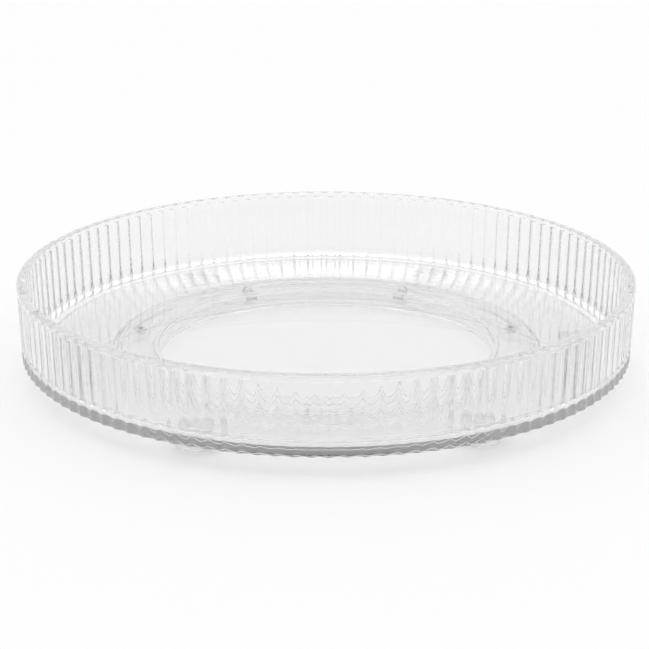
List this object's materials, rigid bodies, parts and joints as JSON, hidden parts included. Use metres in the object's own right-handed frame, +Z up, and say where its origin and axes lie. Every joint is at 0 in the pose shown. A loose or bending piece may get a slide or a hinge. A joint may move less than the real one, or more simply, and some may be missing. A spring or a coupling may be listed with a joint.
{
  "type": "lazy susan turntable",
  "caption": "Clear round lazy susan: a deep fluted tray that turns freely on a caged ball race in a ring-shaped base with soft feet.",
  "frame": {"origin": "centre of the footprint, on the surface that the feet stand on", "axes": "+Z up along the spin axis; +X and +Y lie in the plane of the tray floor, and the tray is stored with its rotation at zero"},
  "size_m": [0.292, 0.292, 0.0455],
  "materials": {
    "clear_tray": "polished crystal-clear moulding, no tint",
    "clear_base": "polished clear moulding, no tint",
    "clear_cage": "clear moulding with a faint haze",
    "clear_ball": "polished clear glass",
    "soft_foot": "clear soft elastomer, smooth"
  },
  "bodies": {
    "base": {"base_ring": "clear_base", "foot_1": "soft_foot", "foot_2": "soft_foot", "foot_3": "soft_foot", "foot_4": "soft_foot", "foot_5": "soft_foot", "foot_6": "soft_foot"},
    "tray": {"tray": "clear_tray"},
    "cage": {"ball_cage": "clear_cage"},
    "ball_1": {"ball_1": "clear_ball"},
    "ball_2": {"ball_2": "clear_ball"},
    "ball_3": {"ball_3": "clear_ball"},
    "ball_4": {"ball_4": "clear_ball"},
    "ball_5": {"ball_5": "clear_ball"},
    "ball_6": {"ball_6": "clear_ball"},
    "ball_7": {"ball_7": "clear_ball"}
  },
  "joints": [
    {"name": "tray_spin", "type": "hinge", "parent": "base", "child": "tray", "pos_m": [0, 0, 0.0093], "axis": [0, 0, 1], "continuous": true},
    {"name": "cage_orbit", "type": "hinge", "parent": "base", "child": "cage", "pos_m": [0, 0, 0.0062], "axis": [0, 0, 1], "continuous": true},
    {"name": "ball_1_roll", "type": "hinge", "parent": "cage", "child": "ball_1", "pos_m": [0.09089, 0.02149, 0.0062], "axis": [0.9732, 0.23, 0], "continuous": true},
    {"name": "ball_2_roll", "type": "hinge", "parent": "cage", "child": "ball_2", "pos_m": [0.03987, 0.08446, 0.0062], "axis": [0.4269, 0.9043, 0], "continuous": true},
    {"name": "ball_3_roll", "type": "hinge", "parent": "cage", "child": "ball_3", "pos_m": [-0.04117, 0.08383, 0.0062], "axis": [-0.4408, 0.8976, 0], "continuous": true},
    {"name": "ball_4_roll", "type": "hinge", "parent": "cage", "child": "ball_4", "pos_m": [-0.09122, 0.02008, 0.0062], "axis": [-0.9766, 0.215, 0], "continuous": true},
    {"name": "ball_5_roll", "type": "hinge", "parent": "cage", "child": "ball_5", "pos_m": [-0.07257, -0.0588, 0.0062], "axis": [-0.777, -0.6295, 0], "continuous": true},
    {"name": "ball_6_roll", "type": "hinge", "parent": "cage", "child": "ball_6", "pos_m": [0.00072, -0.0934, 0.0062], "axis": [0.0077, -1, 0], "continuous": true},
    {"name": "ball_7_roll", "type": "hinge", "parent": "cage", "child": "ball_7", "pos_m": [0.07347, -0.05767, 0.0062], "axis": [0.7866, -0.6174, 0], "continuous": true}
  ],
  "couplings": [
    {"joint": "cage_orbit", "follows": "tray_spin", "ratio": 0.5},
    {"joint": "ball_1_roll", "follows": "tray_spin", "ratio": -15.567},
    {"joint": "ball_2_roll", "follows": "tray_spin", "ratio": -15.567},
    {"joint": "ball_3_roll", "follows": "tray_spin", "ratio": -15.567},
    {"joint": "ball_4_roll", "follows": "tray_spin", "ratio": -15.567},
    {"joint": "ball_5_roll", "follows": "tray_spin", "ratio": -15.567},
    {"joint": "ball_6_roll", "follows": "tray_spin", "ratio": -15.567},
    {"joint": "ball_7_roll", "follows": "tray_spin", "ratio": -15.567}
  ]
}
